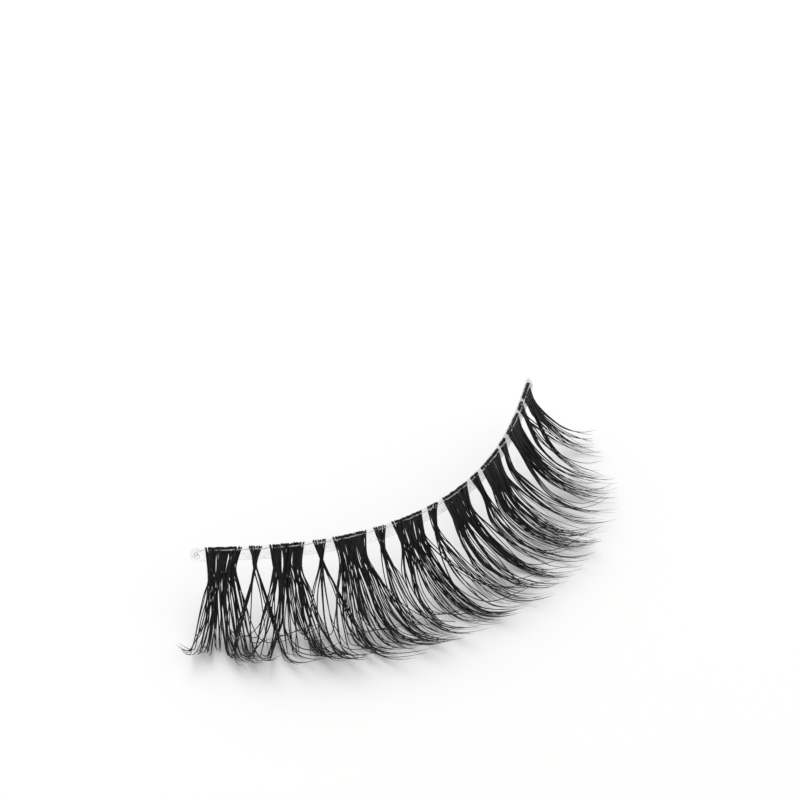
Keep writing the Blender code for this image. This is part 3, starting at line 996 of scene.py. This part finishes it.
def clear_material(name, colour, patch_scale, clearest, haziest, edge_haze):
    """Clear plastic that shows most where it is seen edge-on."""
    material, tree, shader = new_material(name)
    haze = group_node(tree, "Clear Plastic", haze_group, {
        "Colour": (*colour, 1.0),
        "Patch Scale": patch_scale,
        "Clearest": clearest,
        "Haziest": haziest,
    })
    rim = new_node(tree, "LayerWeight", (-600, -300), {"Blend": 0.35})
    edge = new_node(
        tree, "Math", (-350, -200), {1: edge_haze},
        operation="MULTIPLY_ADD", use_clamp=True,
    )
    join(
        tree,
        (rim.outputs["Facing"], edge.inputs[0]),
        (haze.outputs["Alpha"], edge.inputs[2]),
        (haze.outputs["Colour"], shader.inputs["Base Color"]),
        (haze.outputs["Roughness"], shader.inputs["Roughness"]),
        (edge.outputs[0], shader.inputs["Alpha"]),
    )
    bump(tree, shader, haze.outputs["Height"], 0.02 * MM, 0.2)
    return material


def floor_material():
    """Plain pale floor, with an uneven gloss."""
    material, tree, shader = new_material("pale_floor")
    spots = new_node(tree, "TexCoord", (-800, 0))
    mottle = new_node(tree, "TexNoise", (-600, 0), {"Scale": 40.0})
    gloss = new_node(tree, "MapRange", (-350, -100), {"To Min": 0.85, "To Max": 0.95})
    join(
        tree,
        (spots.outputs["Object"], mottle.inputs["Vector"]),
        (mottle.outputs["Fac"], gloss.inputs["Value"]),
        (gloss.outputs["Result"], shader.inputs["Roughness"]),
    )
    shader.inputs["Base Color"].default_value = (*bpy.context.scene.lash_finish.floor, 1.0)
    shader.inputs["Specular IOR Level"].default_value = 0.0
    return material


# Operators


def fringe_of(context):
    """The fringe of the scene's settings."""
    return Fringe(context.scene.lash_band, context.scene.lash_shape)


class LASHSTRIP_OT_fans(bpy.types.Operator):
    """Replace each fan of plain locks by its single lashes and knots"""

    bl_idname = "lash_strip.fans"
    bl_label = "Lash Fans"

    def execute(self, context):
        fringe = fringe_of(context)
        silky = fibre_material("silky_black_fibre", specular=0.18, grain_scale=5000.0)
        knotted = fibre_material("knotted_black_fibre", specular=0.30, grain_scale=9000.0)
        for number, fan in enumerate(fringe.fans):
            rng = np.random.default_rng(FAN_SEED + number)
            node = fan[0]
            plan = plan_fan(fringe, fan, rng)
            points, radii, faces = lash_paths(fringe, plan)
            tones = rng.uniform(size=len(points)) ** 1.5
            mesh = tube_mesh(f"{node}_lashes", points, radii, faces, tones)
            add_piece(f"{node}_lashes", mesh, silky, "black_lash", node)
            knots = knot_mesh(fringe, f"{node}_knots", fan, plan, rng)
            add_piece(f"{node}_knots", knots, knotted, "black_lash")
        return {"FINISHED"}


class LASHSTRIP_OT_thread(bpy.types.Operator):
    """Lay the twisted tie thread over the lash roots, with loose loops of thread"""

    bl_idname = "lash_strip.thread"
    bl_label = "Tie Thread"

    def execute(self, context):
        fringe = fringe_of(context)
        rng = np.random.default_rng(THREAD_SEED)
        nylon = clear_material(
            "clear_thread", context.scene.lash_finish.thread,
            patch_scale=4000.0, clearest=0.35, haziest=0.85, edge_haze=0.3,
        )
        add_piece("twisted_thread", thread_mesh(fringe, rng), nylon, "pale_thread", "tie_thread")
        add_piece("thread_loops", loop_mesh(fringe, rng), nylon, "pale_thread")
        return {"FINISHED"}


class LASHSTRIP_OT_film(bpy.types.Operator):
    """Make the clear film band and the dried glue on it"""

    bl_idname = "lash_strip.film"
    bl_label = "Film and Glue"

    def execute(self, context):
        fringe = fringe_of(context)
        rng = np.random.default_rng(FILM_SEED)
        colour = context.scene.lash_finish.film
        film = clear_material(
            "clear_film", colour, patch_scale=900.0, clearest=0.00, haziest=0.10, edge_haze=0.70,
        )
        glue = clear_material(
            "dried_glue", colour, patch_scale=3000.0, clearest=0.02, haziest=0.16, edge_haze=0.5,
        )
        add_piece("band_film", film_mesh(fringe, rng), film, "clear_film", "clear_band")
        add_piece("glue_beads", glue_mesh(fringe, rng), glue, "clear_film")
        return {"FINISHED"}


class LASHSTRIP_OT_stage(bpy.types.Operator):
    """Set the floor, the soft lights and the camera"""

    bl_idname = "lash_strip.stage"
    bl_label = "Stage"

    def execute(self, context):
        scene = context.scene
        studio = scene.lash_studio
        self.lay_floor()
        self.light(scene, studio)
        self.place_camera(scene, studio, fringe_of(context))
        scene.view_settings.view_transform = "Standard"
        return {"FINISHED"}

    def lay_floor(self):
        bpy.ops.mesh.primitive_plane_add(size=FLOOR_SIZE)
        floor = bpy.context.object
        floor.name = "floor"
        floor.data.materials.append(floor_material())

    def light(self, scene, studio):
        world = bpy.data.worlds.new("soft_surroundings")
        world.use_nodes = True
        sky = world.node_tree.nodes["Background"]
        sky.inputs["Color"].default_value = (1.0, 1.0, 1.0, 1.0)
        sky.inputs["Strength"].default_value = studio.sky
        scene.world = world
        lamp = bpy.data.lights.new("soft_key", "AREA")
        lamp.shape = "DISK"
        lamp.size = KEY_SIZE
        lamp.energy = studio.key_power
        key = bpy.data.objects.new("soft_key", lamp)
        key.location = KEY_PLACE
        key.rotation_euler = (-key.location).to_track_quat("-Z", "Y").to_euler()
        scene.collection.objects.link(key)

    def place_camera(self, scene, studio, fringe):
        middle = Vector(fringe.arc_point(np.array([0.5 * fringe.length]))[0])
        a, e = studio.azimuth, studio.elevation
        right = Vector((cos(a), sin(a), 0.0))
        back = Vector((sin(a) * cos(e), -cos(a) * cos(e), sin(e)))
        above = back.cross(right)
        aside = (studio.aim_x - 0.5 * IMAGE_SIDE) / studio.pixels_per_metre
        lower = (studio.aim_y - 0.5 * IMAGE_SIDE) / studio.pixels_per_metre
        lens = bpy.data.cameras.new("camera")
        lens.sensor_width = SENSOR_WIDTH
        lens.lens = studio.distance * studio.pixels_per_metre / IMAGE_SIDE * SENSOR_WIDTH
        lens.clip_start = 0.01
        camera = bpy.data.objects.new("camera", lens)
        camera.location = middle - aside * right + lower * above + studio.distance * back
        axes = Matrix((right, above, back)).transposed()
        camera.rotation_euler = axes.to_euler()
        scene.collection.objects.link(camera)
        scene.camera = camera


class LASHSTRIP_PT_panel(bpy.types.Panel):
    """Steps and sizes of the lash strip"""

    bl_label = "Lash Strip"
    bl_idname = "LASHSTRIP_PT_panel"
    bl_space_type = "VIEW_3D"
    bl_region_type = "UI"
    bl_category = "Lash Strip"

    def draw(self, context):
        layout = self.layout
        for operator in OPERATORS:
            layout.operator(operator.bl_idname)
        for settings in SETTINGS:
            group = getattr(context.scene, settings)
            box = layout.box()
            for name in group.bl_rna.properties.keys():
                if name not in {"rna_type", "name"}:
                    box.prop(group, name)


SETTINGS = {
    "lash_band": BandShape,
    "lash_shape": LashShape,
    "lash_finish": Finish,
    "lash_studio": Studio,
}
OPERATORS = (LASHSTRIP_OT_fans, LASHSTRIP_OT_thread, LASHSTRIP_OT_film, LASHSTRIP_OT_stage)


def register():
    for group in SETTINGS.values():
        bpy.utils.register_class(group)
    for operator in OPERATORS:
        bpy.utils.register_class(operator)
    bpy.utils.register_class(LASHSTRIP_PT_panel)
    for name, group in SETTINGS.items():
        setattr(bpy.types.Scene, name, PointerProperty(type=group))


def unregister():
    for name in SETTINGS:
        delattr(bpy.types.Scene, name)
    bpy.utils.unregister_class(LASHSTRIP_PT_panel)
    for operator in reversed(OPERATORS):
        bpy.utils.unregister_class(operator)
    for group in reversed(list(SETTINGS.values())):
        bpy.utils.unregister_class(group)


def main():
    register()
    bpy.ops.lash_strip.fans()
    bpy.ops.lash_strip.thread()
    bpy.ops.lash_strip.film()
    bpy.ops.lash_strip.stage()


if __name__ == "__main__":
    main()
